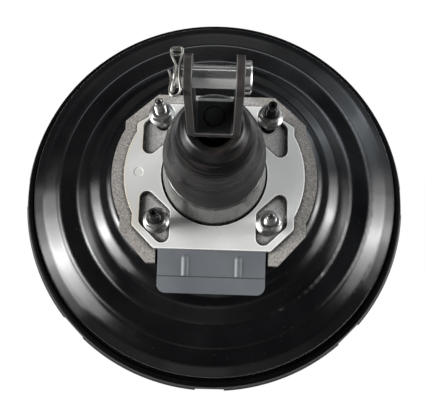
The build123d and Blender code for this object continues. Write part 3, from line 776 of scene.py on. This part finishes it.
# ---- dust boot ----
# Moulded rubber dome from the sleeve's lip up to an open, stepped mouth round the push rod. Its
# foot snaps over the lip. The real dome folds down as the piston makes its stroke; this one is
# built at rest, in one rigid shape. Rust from the lip has stained the foot, and the lower half is
# scuffed dull.
BOOT_WALL = 1.5
boot_rubber = finish(
    "boot_rubber", (0.004, 0.004, 0.0045), (0.008, 0.0076, 0.0074), (0.16, 0.28), 0, 60, (1, 1, 3)
)
tree = boot_rubber.node_tree
coords = tree.nodes.new("ShaderNodeTexCoord")
rings = tree.nodes.new("ShaderNodeTexWave")
rings.bands_direction = "Z"
rings.inputs["Scale"].default_value = 150.0
rings.inputs["Distortion"].default_value = 1.5
rings.inputs["Detail"].default_value = 2.0
tree.links.new(coords.outputs["Object"], rings.inputs["Vector"])
relief(boot_rubber, rings.outputs["Fac"], 0.05, 0.25)
relief(boot_rubber, noise(tree, 500, 3), 0.05, 0.3)
bloom, scuffed, rust = (0.03, 0.024, 0.02), (0.005, 0.0042, 0.004), (0.075, 0.052, 0.03)
cover(boot_rubber, patches(tree, 80, 4, 0.5, 0.7, 0.6, (0.6, 0.6, 6)), bloom, 0.5)
cover(boot_rubber, band(tree, "Z", 10, 52, 14.0), scuffed, 0.9)
cover(boot_rubber, band(tree, "Z", 30, 33.4, 0.5), rust, 0.6)

boot_line = rounded(
    [
        (29.9, 26.0),
        (29.9, 30.6, 0.8),
        (31.2, 32.4, 2),
        (32.2, 45, 50),
        (29.2, 64, 90),
        (24.4, 82, 60),
        (19.6, 93.4, 14),
        (16.0, 98.6, 1.5),
        (14.2, 97.8, 0.8),
        (14.2, 94.6, 0.6),
        (12.6, 94.2, 0.5),
        (12.6, 90.0),
    ],
    10,
)
boot = turned("boot", boot_line, BOOT_WALL, boot_rubber, 192)
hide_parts("dust_boot")
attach(boot, HOUSING)
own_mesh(boot)

# ---- clevis ----
# Yoke of thick steel strip bent to a U, screwed on the push rod and locked by a thin nut. It is
# oiled dark brown-grey, with brighter worn edges. Between the arms it is painted near-black as
# shade, and a pale strip along the web's far edge is a painted highlight.
yoke_steel = finish(
    "yoke_steel", (0.022, 0.019, 0.018), (0.045, 0.04, 0.037), (0.36, 0.52), 0.35, 130, (1, 1, 0.5)
)
tree = yoke_steel.node_tree
soften(yoke_steel, 0.3)
relief(yoke_steel, noise(tree, 500, 4, (1, 1, 0.3)), 0.03, 0.4)
oil, worn_edge = (0.085, 0.07, 0.066), (0.36, 0.35, 0.34)
# The first colour here is a painted highlight for the web's far edge, the second painted shade between
# the arms.
cut, arm_shade = (0.5, 0.49, 0.48), (0.008, 0.0075, 0.0075)
cover(yoke_steel, patches(tree, 260, 5, 0.5, 0.7, 0.6, (1, 1, 0.4)), oil)
cover(yoke_steel, edges(tree, 0.8, 0.8), worn_edge, 0.4)
# painted highlight: a pale strip along the web's far edge
web_edge_glint = combine(tree, "MULTIPLY", band(tree, "Z", 111, 114, 0.2), band(tree, "Y", 8.9, 11.5, 0.3))
cover(yoke_steel, web_edge_glint, cut, 0.5)
# painted shade: near-black between the arms
between = combine(tree, "MULTIPLY", band(tree, "X", -10.2, 10.2, 0.2), band(tree, "Y", -9.5, 8.6, 0.3))
cover(yoke_steel, between, arm_shade, 0.55)
paint(yoke_steel, "clevis", "jam_nut", "input_rod")

# ---- clevis pin ----
# Headed pin that turns freely in the yoke's eyes, zinc plated and dull with handling. It is
# cross-drilled at its end for the clip.
pin_steel = finish(
    "pin_steel", (0.5, 0.5, 0.48), (0.75, 0.75, 0.72), (0.1, 0.2), 0.9, 120, (0.2, 1, 1)
)
tree = pin_steel.node_tree
relief(pin_steel, noise(tree, 600, 3, (1, 0.3, 0.3)), 0.02, 0.4)
cover(pin_steel, patches(tree, 260, 4, 0.54, 0.7, 0.8, (0.4, 1, 1)), (0.2, 0.17, 0.15), 0.4)
# painted highlight: a near-white band along the pin's lower side, towards the tab
cover(pin_steel, band(tree, "Y", -6, -2.8, 0.5), (0.95, 0.95, 0.92), 0.5)
paint(pin_steel, "clevis_pin")

# ---- spring clip ----
# Hairpin of bright spring wire on the end of the pin. One leg is bent round the end, the other
# snaps over it, and the eye at the top is wound twice.
PIN = "pin"  # the frame's body for the clevis pin
CLIP_WIRE_R = 0.6
CLIP_ROUTE = [
    (-21.8, 2.5, 165.6),
    (-20.5, -0.2, 166.2),
    (-20.4, -4.5, 167.2),
    (-20.9, -9.0, 168.4),
    (-19.8, -12.0, 168.8),
    (-17.0, -12.0, 169.2),
    (-15.3, -9.6, 170.2),
    (-15.9, -6.0, 171.0),
    (-16.5, -2.1, 171.5),
    (-16.2, 3.2, 171.6),
    (-15.5, 7.4, 171.2),
    (-14.9, 11.8, 170.9),
    (-18.0, 11.9, 170.6),
    (-20.9, 11.6, 170.3),
    (-20.4, 8.6, 169.6),
    (-17.4, 8.6, 169.3),
    (-15.4, 8.9, 169.2),
    (-15.3, 11.4, 169.3),
    (-18.0, 11.4, 169.4),
    (-20.7, 11.2, 169.6),
    (-20.6, 8.6, 170.2),
    (-19.6, 6.0, 170.8),
    (-17.8, 2.4, 171.5),
    (-17.7, -0.8, 171.6),
    (-18.4, -4.4, 171.4),
    (-19.8, -8.4, 170.0),
    (-19.4, -10.6, 168.6),
    (-18.7, -8.2, 167.6),
    (-17.9, -5.6, 167.2),
]
clip_wire = finish("clip_wire", (0.3, 0.29, 0.26), (0.5, 0.49, 0.45), (0.24, 0.36), 0.85, 200)
relief(clip_wire, noise(clip_wire.node_tree, 900, 3), 0.01, 0.3)
wire = bpy.data.curves.new("spring_clip", "CURVE")
wire.dimensions = "3D"
wire.bevel_depth = CLIP_WIRE_R * MM
wire.bevel_resolution = 3
wire.resolution_u = 6
wire.use_fill_caps = True
route = wire.splines.new("NURBS")
route.points.add(len(CLIP_ROUTE) - 1)
for point, place in zip(route.points, CLIP_ROUTE):
    point.co = (place[0] * MM, place[1] * MM, place[2] * MM, 1)
route.order_u = 3
route.use_endpoint_u = True
former = bpy.data.objects.new("clip_route", wire)
bpy.context.scene.collection.objects.link(former)
bpy.context.view_layer.update()
bm = bmesh.new()
bm.from_mesh(bpy.data.meshes.new_from_object(former))
bpy.data.objects.remove(former)
spring_clip = smooth(bm, "spring_clip", clip_wire, 60)
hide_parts("pin_clip")
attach(spring_clip, PIN)
